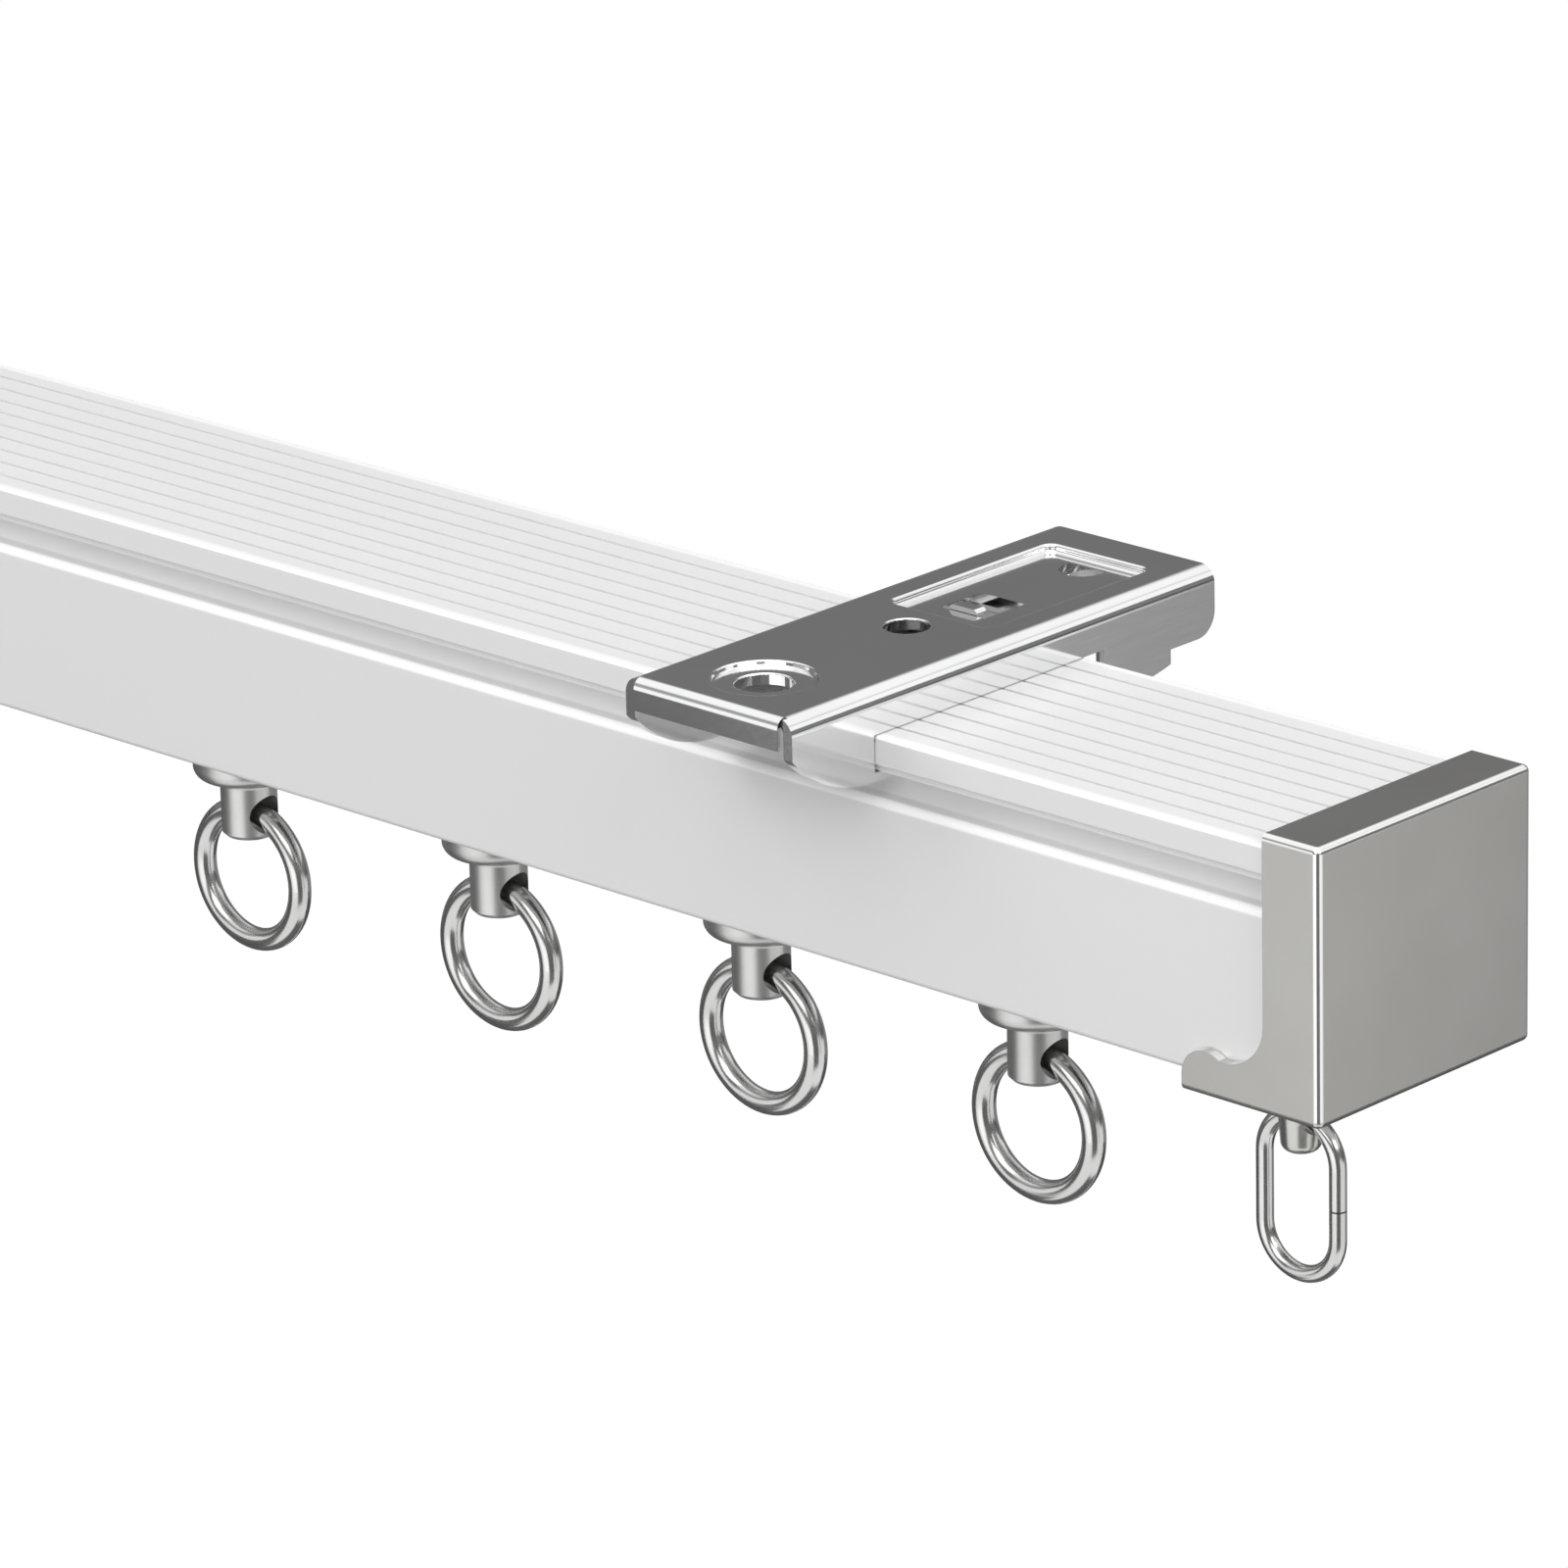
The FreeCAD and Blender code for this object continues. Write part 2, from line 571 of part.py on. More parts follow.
# End cap. Its own frame has x = 0 at the end face and -x along the rail.
def make_cap(label, yaw, x):
    body = new_body(label)
    collar = new_sketch(body, "Collar", "YZ_Plane")
    add_loop(collar, box_corners(-cap_half, cap_half, cap_under, cap_top))
    pad(body, collar, d.collar_thickness, reverse=True)
    sweep_top = cap_under + d.sweep_height
    sweep_low = sweep_top - d.sweep_radius
    sweep_end = -d.collar_thickness - d.sweep_radius
    hump_x = d.hump_radius - d.foot_length
    hump_z = cap_under + d.hump_height - d.hump_radius
    hump_start = hump_x + (d.hump_radius * d.hump_radius - (sweep_low - hump_z) * (sweep_low - hump_z)).root()
    shoe = new_sketch(body, "Shoe", "XZ_Plane")
    add_loop(shoe, [
        (-d.collar_thickness, cap_under),
        (-d.collar_thickness, sweep_top),
        (sweep_end, sweep_low, sweep_end, sweep_top, -1),
        (hump_start, sweep_low),
        (-d.foot_length, hump_z, hump_x, hump_z, 1),
        (-d.foot_length, cap_under),
    ])
    pad(body, shoe, cap_half * 2, both_ways=True)
    seat = new_sketch(body, "Seat", "YZ_Plane", (ZERO, ZERO, -d.collar_thickness))
    seat_half = wall_half + d.cap_gap
    seat_floor = rail_under - d.cap_gap
    add_loop(seat, box_corners(-seat_half, seat_half, seat_floor, sweep_top + BEYOND))
    pocket(body, seat, d.foot_length)
    plug = new_sketch(body, "Plug", "YZ_Plane", (ZERO, ZERO, -d.collar_thickness))
    plug_half = inner_half - d.plug_gap
    plug_low = rail_floor + d.plug_gap
    add_loop(plug, box_corners(-plug_half, plug_half, plug_low, plug_low + d.plug_height))
    pad(body, plug, d.foot_length - d.collar_thickness, reverse=True)
    end_radius = d.lug_diameter / 2
    root_radius = d.lug_root_diameter / 2
    lug_low = cap_under - d.lug_drop
    tip = d.lug_tip_radius
    flare = d.lug_flare
    lug = new_sketch(body, "Lug", "XZ_Plane", (-d.lug_setback, ZERO, ZERO))
    add_loop(lug, [
        (ZERO, lug_low),
        (end_radius - tip, lug_low),
        (end_radius, lug_low + tip, end_radius - tip, lug_low + tip, 1),
        (root_radius, cap_under - flare),
        (root_radius + flare, cap_under, root_radius + flare, cap_under - flare, -1),
        (root_radius + flare, seat_floor),
        (ZERO, seat_floor),
    ])
    revolve(body, lug)
    eye = new_sketch(body, "LugHole", "YZ_Plane")
    add_circle(eye, ZERO, lug_hole_height, lug_hole_diameter)
    pocket(body, eye, both_ways=True)
    thread = new_sketch(body, "ScrewHole", "XY_Plane", (ZERO, ZERO, cap_under))
    add_circle(thread, -d.cap_screw_setback, -d.cap_screw_offset, d.cap_screw_diameter + d.thread_gap * 2)
    pocket(body, thread, d.cap_screw_length + d.cap_screw_recess + d.plug_gap, reverse=True)

    def outer_edge(point):
        on_side = near(abs(point.y), cap_half)
        on_end = near(point.x, 0)
        on_top = near(point.z, cap_top)
        on_under = near(point.z, cap_under)
        return (on_end and (on_side or on_top or on_under)) or (on_side and (on_top or on_under))

    fillet(body, d.cap_edge_radius, outer_edge)
    bind_place(body, x=x, turn=FreeCAD.Rotation(FreeCAD.Vector(0, 0, 1), yaw))
    return body


# Set screws that hold the caps, from below, beside the slot.
def make_cap_screws():
    screws = []
    for name, side in (("Right", 1), ("Left", -1)):
        low = cap_under + d.cap_screw_recess
        x = (track_end - d.cap_screw_setback) * side
        y = d.cap_screw_offset * -side
        shank = doc.addObject("Part::Cylinder", "Shank" + name)
        bind(shank, "Radius", d.cap_screw_diameter / 2)
        bind(shank, "Height", d.cap_screw_length)
        bind_place(shank, x, y, low)
        socket = doc.addObject("Part::Prism", "Socket" + name)
        socket.Polygon = 6
        bind(socket, "Circumradius", d.cap_screw_socket / math.sqrt(3))
        bind(socket, "Height", d.cap_screw_socket_depth)
        bind_place(socket, x, y, low)
        screw = doc.addObject("Part::Cut", "CapScrew" + name)
        screw.Base = shank
        screw.Tool = socket
        screws.append(screw)
    node = doc.addObject("Part::Compound", "cap_screws")
    node.Label = "cap_screws"
    node.Links = screws
    doc.recompute()
    return node


# End link. A bent wire with a butt joint; its own origin is the lug's cross hole.
def make_link(label, x):
    body = new_body(label)
    wire = d.link_wire
    round_radius = link_bend_radius
    top = -d.hang_drop
    upper = top - round_radius
    lower = top - (d.link_height - wire) + round_radius
    joint = -d.link_joint_drop
    half_gap = d.link_joint_gap / 2
    path = new_sketch(body, "LinkPath", "XZ_Plane")
    add_loop(path, [
        (round_radius, joint + half_gap),
        (round_radius, upper),
        (ZERO, top, ZERO, upper, 1),
        (-round_radius, upper, ZERO, upper, 1),
        (-round_radius, lower),
        (ZERO, lower - round_radius, ZERO, lower, 1),
        (round_radius, lower, ZERO, lower, 1),
        (round_radius, joint - half_gap),
    ], closed=False)
    section = new_sketch(body, "LinkSection", "XY_Plane", (ZERO, ZERO, joint + half_gap))
    add_circle(section, round_radius, ZERO, wire)
    doc.recompute()
    pipe = body.newObject("PartDesign::AdditivePipe", "LinkPipe")
    pipe.Profile = section
    pipe.Spine = (path, ["Edge%d" % (number + 1) for number in range(len(path.Geometry))])
    doc.recompute()
    bind_place(body, x, ZERO, lug_hole_height)
    return body


def below_arc(centre_y, centre_z, radius, y):
    """Height of the lower half of a circle at y."""
    return centre_z - (radius * radius - (y - centre_y) * (y - centre_y)).root()


# Bracket. Pressed sheet: a plate below the ceiling with two side flanges and a front lip.
def make_bracket(label, x):
    body = new_body(label)
    half = d.bracket_width / 2
    bend = d.bracket_bend
    inner = half - d.bracket_sheet
    centre = half - bend
    deep = -d.rear_lobe_depth
    channel = new_sketch(body, "Channel", "XZ_Plane", (ZERO, ZERO, -d.bracket_rear))
    right = [
        (centre, -d.bracket_sheet),
        (inner, -bend, centre, -bend, -1),
        (inner, deep),
        (half, deep),
        (half, -bend),
        (centre, ZERO, centre, -bend, 1),
    ]
    add_loop(channel, right + mirror_back(right))
    lip_front = -d.bracket_front
    lip_back = lip_front + d.bracket_sheet
    pad(body, channel, d.bracket_rear + d.bracket_front - d.flange_setback)

    notch_front = -flange_half - d.notch_gap
    notch_top = rail_top + d.clip_gap
    hook_top = flange_under - d.clip_gap
    hook_low = hook_top - d.hook_thickness
    hook_round = d.hook_thickness / 2
    hook_tip = notch_front + d.hook_reach - hook_round
    lobe_y = -d.front_lobe_centre
    lobe_z = hook_low + d.front_lobe_radius
    flange_front = lip_front + d.flange_setback
    front_low = below_arc(lobe_y, lobe_z, d.front_lobe_radius, flange_front)
    rear_z = deep + d.rear_lobe_radius
    rear_low = below_arc(d.rear_lobe_centre, rear_z, d.rear_lobe_radius, d.rear_step)
    rear_start = d.notch_rear + d.rear_lobe_chamfer
    rear_start_low = below_arc(d.rear_lobe_centre, rear_z, d.rear_lobe_radius, rear_start)
    corner = d.rear_corner
    rear = d.bracket_rear
    flanges = new_sketch(body, "FlangeOutline", "YZ_Plane")
    add_loop(flanges, [
        (flange_front - BEYOND, deep - BEYOND),
        (rear + BEYOND, deep - BEYOND),
        (rear + BEYOND, corner - d.rear_depth),
        (rear, corner - d.rear_depth),
        (rear - corner, -d.rear_depth, rear - corner, corner - d.rear_depth, -1),
        (d.rear_step, -d.rear_depth),
        (d.rear_step, rear_low),
        (rear_start, rear_start_low, d.rear_lobe_centre, rear_z, -1),
        (d.notch_rear, rear_start_low + d.rear_lobe_chamfer),
        (d.notch_rear, notch_top),
        (notch_front, notch_top),
        (notch_front, hook_top),
        (hook_tip, hook_top),
        (hook_tip, hook_low, hook_tip, hook_top - hook_round, -1),
        (lobe_y, hook_low),
        (flange_front, front_low, lobe_y, lobe_z, -1),
        (flange_front - BEYOND, front_low),
    ])
    pocket(body, flanges, both_ways=True)

    gap = new_sketch(body, "LipGap", "XY_Plane")
    add_loop(gap, box_corners(-inner, inner, lip_front - BEYOND, lip_back))
    pocket(body, gap, d.bracket_front, both_ways=True)
    lip = new_sketch(body, "Lip", "YZ_Plane")
    add_loop(lip, [
        (lip_front, -d.lip_height),
        (lip_back, -d.lip_height),
        (lip_back, -d.bracket_sheet),
        (lip_back + d.bracket_sheet, -d.bracket_sheet),
        (lip_back + d.bracket_sheet, ZERO),
        (lip_back, ZERO),
        (lip_front, -d.bracket_sheet, lip_back, -d.bracket_sheet, 1),
    ])
    pad(body, lip, (inner - d.lip_slit) * 2, both_ways=True)

    spread = d.recess_spread
    recess_half = d.recess_width / 2
    bulge = new_sketch(body, "RecessBulge", "XY_Plane", (ZERO, ZERO, recess_under))
    add_loop(bulge, round_box_corners(
        -recess_half - spread, recess_half + spread,
        d.recess_front - spread, d.recess_rear + spread, d.recess_corner + spread))
    pad(body, bulge, d.recess_depth + d.bracket_sheet / 2)
    hollow = new_sketch(body, "RecessHollow", "XY_Plane")
    add_loop(hollow, round_box_corners(
        -recess_half, recess_half, d.recess_front, d.recess_rear, d.recess_corner))
    pocket(body, hollow, d.recess_depth)

    def recess_edge(point, height):
        inside = abs(point.x) < recess_half.value + 0.01 and near(point.z, height)
        return inside and d.recess_front.value - 0.01 < point.y < d.recess_rear.value + 0.01

    fillet(body, d.recess_edge_radius, lambda point: recess_edge(point, ZERO))
    fillet(body, d.recess_floor_radius, lambda point: recess_edge(point, recess_floor))
    fillet(body, d.recess_under_radius, lambda point: near(point.z, recess_under))
    window = new_sketch(body, "Window", "XY_Plane")
    window_half = d.window_width / 2
    add_loop(window, box_corners(-window_half, window_half, d.window_front, d.window_rear))
    pocket(body, window, both_ways=True)

    tab_half = d.tab_width / 2
    sagitta = d.tab_length
    tab_radius = (tab_half * tab_half + sagitta * sagitta) / (sagitta * 2)
    slot = new_sketch(body, "HalfMoon", "XY_Plane")
    add_loop(slot, [
        (-tab_half, d.tab_place),
        (ZERO, d.tab_place - sagitta, ZERO, d.tab_place - sagitta + tab_radius, 1),
        (tab_half, d.tab_place, ZERO, d.tab_place - sagitta + tab_radius, 1),
    ])
    pocket(body, slot, both_ways=True)
    tab = new_sketch(body, "Tab", "XZ_Plane", (ZERO, ZERO, -d.tab_place - d.bracket_sheet))
    tab_low = recess_under - sagitta
    add_loop(tab, [
        (tab_half, recess_floor - d.bracket_sheet / 2),
        (-tab_half, recess_floor - d.bracket_sheet / 2),
        (-tab_half, recess_under),
        (ZERO, tab_low, ZERO, tab_low + tab_radius, 1),
        (tab_half, recess_under, ZERO, tab_low + tab_radius, 1),
    ])
    pad(body, tab, d.bracket_sheet)

    dish_at = (-d.screw_hole_place, ZERO, ZERO)
    top_radius = d.dish_diameter / 2
    floor_radius = d.dish_floor_diameter / 2
    dish_under = -d.dish_depth - d.bracket_sheet
    boss = new_sketch(body, "DishBoss", "YZ_Plane", dish_at)
    add_loop(boss, [
        (ZERO, -d.bracket_sheet / 2),
        (ZERO, dish_under),
        (floor_radius + d.dish_spread, dish_under),
        (top_radius + d.dish_spread, -d.bracket_sheet),
        (top_radius + d.dish_spread, -d.bracket_sheet / 2),
    ])
    revolve(body, boss)
    dish = new_sketch(body, "Dish", "YZ_Plane", dish_at)
    add_loop(dish, [
        (ZERO, ZERO + BEYOND),
        (ZERO, dish_under - BEYOND),
        (d.screw_hole_diameter / 2, dish_under - BEYOND),
        (d.screw_hole_diameter / 2, -d.dish_depth),
        (floor_radius, -d.dish_depth),
        (top_radius, ZERO),
        (top_radius, ZERO + BEYOND),
    ])
    revolve(body, dish, cut=True)

    def dish_edge(point):
        distance = math.hypot(point.x, point.y + d.screw_hole_place.value)
        between = floor_radius.value - 0.01 < distance < top_radius.value + 0.01
        return between and (near(point.z, ZERO) or near(point.z, -d.dish_depth))

    fillet(body, d.dish_round, dish_edge)
    small = new_sketch(body, "SmallHole", "XY_Plane")
    add_circle(small, ZERO, d.small_hole_place, d.small_hole_diameter)
    pocket(body, small, both_ways=True)

    def hole_edge(point):
        screw_reach = math.hypot(point.x, point.y + d.screw_hole_place.value)
        small_reach = math.hypot(point.x, point.y - d.small_hole_place.value)
        at_screw = near(screw_reach, d.screw_hole_diameter / 2) and near(point.z, -d.dish_depth)
        return at_screw or (near(small_reach, d.small_hole_diameter / 2) and near(point.z, ZERO))

    fillet(body, d.hole_edge_radius, hole_edge)
    bind_place(body, x=x)
    return body


# Latch. Folded sheet that slides below the bracket's recess and grips the rail's rear flange.
def make_latch(label, x):
    body = new_body(label)
    plate_front = d.window_front + d.tongue_gap
    claw_top = flange_under - d.claw_gap
    claw_low = claw_top - d.claw_thickness
    bend = d.latch_bend
    fold = new_sketch(body, "Fold", "YZ_Plane")
    add_loop(fold, [
        (plate_front, latch_under),
        (latch_face, latch_under),
        (latch_face, claw_low),
        (latch_back, claw_low),
        (latch_back, latch_top - bend),
        (latch_back - bend, latch_top, latch_back - bend, latch_top - bend, 1),
        (plate_front, latch_top),
    ])
    pad(body, fold, latch_half * 2, both_ways=True)
    claws = new_sketch(body, "Claws", "XY_Plane", (ZERO, ZERO, claw_low))
    claw_tip = flange_half - d.claw_reach
    inner = d.claw_spacing / 2
    corner = d.tongue_round
    for left, right in ((inner, latch_half), (-latch_half, -inner)):
        add_loop(claws, [
            (right, claw_tip + corner),
            (right, latch_back),
            (left, latch_back),
            (left, claw_tip + corner),
            (left + corner, claw_tip, left + corner, claw_tip + corner, 1),
            (right - corner, claw_tip),
            (right, claw_tip + corner, right - corner, claw_tip + corner, 1),
        ][1:])
    pad(body, claws, d.claw_thickness)
    thumb = new_sketch(body, "Thumb", "XZ_Plane", (ZERO, ZERO, -latch_back))
    thumb_half = d.thumb_width / 2
    thumb_low = claw_low - d.thumb_drop
    add_loop(thumb, [
        (thumb_half, claw_low + d.claw_thickness),
        (-thumb_half, claw_low + d.claw_thickness),
        (-thumb_half, thumb_low + corner),
        (-thumb_half + corner, thumb_low, -thumb_half + corner, thumb_low + corner, 1),
        (thumb_half - corner, thumb_low),
        (thumb_half, thumb_low + corner, thumb_half - corner, thumb_low + corner, 1),
    ])
    pad(body, thumb, d.latch_sheet)
    tongue = new_sketch(body, "Tongue", "XZ_Plane", (ZERO, ZERO, -plate_front))
    tongue_half = d.tongue_width / 2
    tongue_top = -d.tongue_clear
    add_loop(tongue, [
        (-tongue_half, latch_under),
        (tongue_half, latch_under),
        (tongue_half, tongue_top - corner),
        (tongue_half - corner, tongue_top, tongue_half - corner, tongue_top - corner, 1),
        (-tongue_half + corner, tongue_top),
        (-tongue_half, tongue_top - corner, -tongue_half + corner, tongue_top - corner, 1),
    ])
    pad(body, tongue, d.latch_sheet, reverse=True)
    peg = new_sketch(body, "Peg", "XZ_Plane", (ZERO, ZERO, -latch_back))
    add_circle(peg, ZERO, spring_height, d.peg_diameter)
    pad(body, peg, d.peg_length, reverse=True)
    bind_place(body, x=x)
    return body


# Latch spring. A coil along +Y; its own origin is the front end of its axis.
def make_spring(label, x):
    body = new_body(label)
    coil_length = d.tab_place - latch_back - d.spring_end_gap * 2 - d.spring_wire
    section = new_sketch(body, "SpringSection", "YZ_Plane")
    add_circle(section, d.spring_wire / 2, (d.spring_diameter - d.spring_wire) / 2, d.spring_wire)
    doc.recompute()
    coil = body.newObject("PartDesign::AdditiveHelix", "Coil")
    coil.Profile = section
    coil.ReferenceAxis = (section, ["H_Axis"])
    coil.Mode = "height-turns-angle"
    bind(coil, "Height", coil_length)
    bind(coil, "Turns", d.spring_turns)
    doc.recompute()
    bind_place(body, x, latch_back + d.spring_end_gap, spring_height)
    return body


# Runner. A hanger with a wheelset, an eye on a pin, and a ring.
def make_hanger(label, x):
    body = new_body(label)
    half = d.hanger_width / 2
    outline = new_sketch(body, "HangerOutline", "XZ_Plane")
    add_loop(outline, [
        (-half, hanger_under),
        (half, hanger_under),
        (half, axle_height),
        (ZERO, axle_height + half, ZERO, axle_height, 1),
        (-half, axle_height, ZERO, axle_height, 1),
    ])
    pad(body, outline, d.hanger_thickness, both_ways=True)
    bore = new_sketch(body, "AxleBore", "XZ_Plane")
    add_circle(bore, ZERO, axle_height, d.axle_diameter + d.axle_fit * 2)
    pocket(body, bore, both_ways=True)
    chamber_floor = hanger_under + d.pin_head_rise - d.pin_head_seat
    chamber_top = hanger_under + d.pin_head_rise + d.pin_head_thickness + d.pin_head_gap
    pin_radius = d.pin_diameter / 2 + d.pin_fit
    chamber_radius = d.pin_head_diameter / 2 + d.pin_head_gap
    chamber = new_sketch(body, "PinBore", "XZ_Plane")
    add_loop(chamber, [
        (ZERO, hanger_under - BEYOND),
        (pin_radius, hanger_under - BEYOND),
        (pin_radius, chamber_floor),
        (chamber_radius, chamber_floor),
        (chamber_radius, chamber_top),
        (ZERO, chamber_top),
    ])
    revolve(body, chamber, cut=True)
    bind_place(body, x=x)
    return body


def make_wheels(label, x):
    body = new_body(label)
    inner_face = d.wheel_track / 2
    outer_face = inner_face + d.wheel_thickness
    radius = d.wheel_diameter / 2
    axle_radius = d.axle_diameter / 2
    hub_face = d.hanger_thickness / 2 + d.hub_gap
    section = new_sketch(body, "WheelSection", "YZ_Plane")
    right = [
        (outer_face + d.axle_stub, ZERO),
        (outer_face + d.axle_stub, axle_radius),
        (outer_face, axle_radius),
        (outer_face, radius - d.wheel_chamfer),
        (outer_face - d.wheel_chamfer, radius),
        (inner_face + d.wheel_chamfer, radius),
        (inner_face, radius - d.wheel_chamfer),
        (inner_face, d.hub_diameter / 2),
        (hub_face, d.hub_diameter / 2),
        (hub_face, axle_radius),
    ]
    add_loop(section, right + mirror_back(right))
    revolve(body, section, axis="H_Axis")
    bind_place(body, x, ZERO, axle_height)
    return body


def make_eye(label, x):
    body = new_body(label)
    head_low = hanger_under + d.pin_head_rise
    head_radius = d.pin_head_diameter / 2
    pin_radius = d.pin_diameter / 2
    rim = d.eye_collar_diameter / 2
    edge = d.eye_collar_edge
    rim_low = eye_top - d.eye_rim_height
    collar_under = rim_low - d.eye_round
    flat = rim - d.eye_round
    stem = d.stem_diameter / 2
    root = d.eye_root_round
    stem_end = eye_top - d.stem_length
    section = new_sketch(body, "EyeSection", "XZ_Plane")
    add_loop(section, [
        (ZERO, stem_end),
        (stem - d.stem_chamfer, stem_end),
        (stem, stem_end + d.stem_chamfer),
        (stem, collar_under - root),
        (stem + root, collar_under, stem + root, collar_under - root, -1),
        (flat, collar_under),
        (rim, rim_low, flat, rim_low, 1),
        (rim, eye_top - edge),
        (rim - edge, eye_top, rim - edge, eye_top - edge, 1),
        (pin_radius, eye_top),
        (pin_radius, head_low),
        (head_radius, head_low),
        (head_radius, head_low + d.pin_head_thickness),
        (ZERO, head_low + d.pin_head_thickness),
    ])
    revolve(body, section)
    hole = new_sketch(body, "EyeHole", "YZ_Plane")
    add_circle(hole, ZERO, eye_hole_height, eye_hole_diameter)
    pocket(body, hole, both_ways=True)
    bind_place(body, x=x)
    return body


def make_ring(label, x):
    ring = doc.addObject("Part::Torus", label)
    ring.Label = label
    bind(ring, "Radius1", ring_radius)
    bind(ring, "Radius2", d.ring_wire / 2)
    upright = FreeCAD.Rotation(FreeCAD.Vector(1, 0, 0), 90)
    bind_place(ring, x, ZERO, eye_hole_height - d.hang_drop - ring_radius, turn=upright)
    return ring


def runner_places():
    """Runner centres in both halves of the track, numbered from the right."""
    count = int(d.runners_per_end.value)
    right = [track_end - d.runner_setback - d.runner_pitch * number for number in range(count)]
    return right + [-x for x in reversed(right)]


bracket_x = track_end - d.bracket_setback
link_x = track_end - d.lug_setback
nodes = [
    make_rail(),
    make_cap("cap_right", 0, track_end),
    make_cap("cap_left", 180, -track_end),
    make_cap_screws(),
    make_link("link_right", link_x),
    make_link("link_left", -link_x),
]
for side, x in (("right", bracket_x), ("left", -bracket_x)):
    nodes.append(make_bracket("bracket_" + side, x))
    nodes.append(make_latch("latch_" + side, x))
    nodes.append(make_spring("spring_" + side, x))
for number, x in enumerate(runner_places(), start=1):
    name = "runner_%d_" % number
    nodes.append(make_hanger(name + "hanger", x))
    nodes.append(make_wheels(name + "wheels", x))
    nodes.append(make_eye(name + "eye", x))
    nodes.append(make_ring(name + "ring", x))
doc.recompute()

for item in doc.Objects:
    if "Invalid" in item.State or "Error" in item.State:
        raise ValueError("%s did not compute" % item.Label)
for node in nodes:
    if node.Shape.isNull() or not node.Shape.isValid():
        raise ValueError("%s has no valid shape" % node.Label)

os.makedirs("parts", exist_ok=True)
for node in nodes:
    node.Shape.exportStep("parts/%s.step" % node.Label)
    box = node.Shape.BoundBox
    print("%-18s %2d solid(s)  volume %9.2f  x %8.2f %8.2f  y %7.2f %7.2f  z %7.2f %7.2f" % (
        node.Label, len(node.Shape.Solids), node.Shape.Volume,
        box.XMin, box.XMax, box.YMin, box.YMax, box.ZMin, box.ZMax))
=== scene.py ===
# %% [markdown]
# A curtain track in a small photo studio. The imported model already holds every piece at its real
# size: a slotted rail, two end caps, two ceiling brackets with their latches, and eight runners
# with rings. This lesson gives those pieces their finishes, hangs them in soft light and points a
# long lens at the right-hand end. Lengths are in metres.

# %% Load the model
import math

import bpy
from mathutils import Matrix, Vector


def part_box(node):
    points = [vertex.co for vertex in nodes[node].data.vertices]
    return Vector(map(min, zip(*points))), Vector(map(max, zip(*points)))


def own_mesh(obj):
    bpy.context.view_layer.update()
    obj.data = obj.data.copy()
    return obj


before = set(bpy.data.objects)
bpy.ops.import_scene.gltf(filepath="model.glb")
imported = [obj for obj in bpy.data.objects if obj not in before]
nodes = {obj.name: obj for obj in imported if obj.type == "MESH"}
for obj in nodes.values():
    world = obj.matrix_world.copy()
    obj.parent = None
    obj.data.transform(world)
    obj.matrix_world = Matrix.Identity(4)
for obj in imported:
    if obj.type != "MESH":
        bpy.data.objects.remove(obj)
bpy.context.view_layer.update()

MM = 0.001


def nodes_named(*words):
    """The pieces whose name holds one of the words, in a fixed order."""
    return [nodes[name] for name in sorted(nodes) if any(word in name for word in words)]

# %% [markdown]
# Every finish here needs the same few things: a shader, a pattern that sits on the piece, and
# fine relief. Object coordinates are used for the patterns. They are the same metres as the
# model, so a grain of 0.2 mm is written as 0.2 mm and stays put when the piece moves. Most noise
# lies between 0.3 and 0.7, and that part of it is spread over the colours or the roughness.

# %% Helpers for a material, its patterns and its relief
NOISE_LOW, NOISE_HIGH = 0.3, 0.7


def new_material(name):
    """An empty node material with its shader, and a source of Object coordinates."""
    material = bpy.data.materials.new(name)
    material.use_nodes = True
    tree = material.node_tree
    shader = tree.nodes["Principled BSDF"]
    place = tree.nodes.new("ShaderNodeTexCoord")
    return material, tree, shader, place.outputs["Object"]


def noise(tree, place, grain, detail=2.0, roughness=0.5, stretch=(1, 1, 1)):
    """Noise whose features are about one grain wide, stretched along the axes if asked."""
    mapping = tree.nodes.new("ShaderNodeMapping")
    mapping.inputs["Scale"].default_value = stretch
    tree.links.new(place, mapping.inputs["Vector"])
    texture = tree.nodes.new("ShaderNodeTexNoise")
    texture.inputs["Scale"].default_value = 1 / grain
    texture.inputs["Detail"].default_value = detail
    texture.inputs["Roughness"].default_value = roughness
    tree.links.new(mapping.outputs["Vector"], texture.inputs["Vector"])
    return texture.outputs["Fac"]


def ramp(tree, factor, stops):
    """A colour ramp. Each stop is (position, colour) with a grey number or three channels."""
    node = tree.nodes.new("ShaderNodeValToRGB")
    elements = node.color_ramp.elements
    while len(elements) < len(stops):
        elements.new(0.5)
    for element, (position, colour) in zip(elements, stops):
        rgb = (colour,) * 3 if isinstance(colour, (int, float)) else colour
        element.position = position
        element.color = (*rgb, 1)
    tree.links.new(factor, node.inputs["Fac"])
    return node.outputs["Color"]


def two_tones(tree, factor, dark, light):
    """Noise as a drift between two close colours."""
    return ramp(tree, factor, [(NOISE_LOW, dark), (NOISE_HIGH, light)])


def spread(tree, factor, low, high):
    """Noise mapped to a range of plain numbers, for a roughness."""
    node = tree.nodes.new("ShaderNodeMapRange")
    node.inputs["From Min"].default_value = NOISE_LOW
    node.inputs["From Max"].default_value = NOISE_HIGH
    node.inputs["To Min"].default_value = low
    node.inputs["To Max"].default_value = high
    tree.links.new(factor, node.inputs["Value"])
    return node.outputs["Result"]


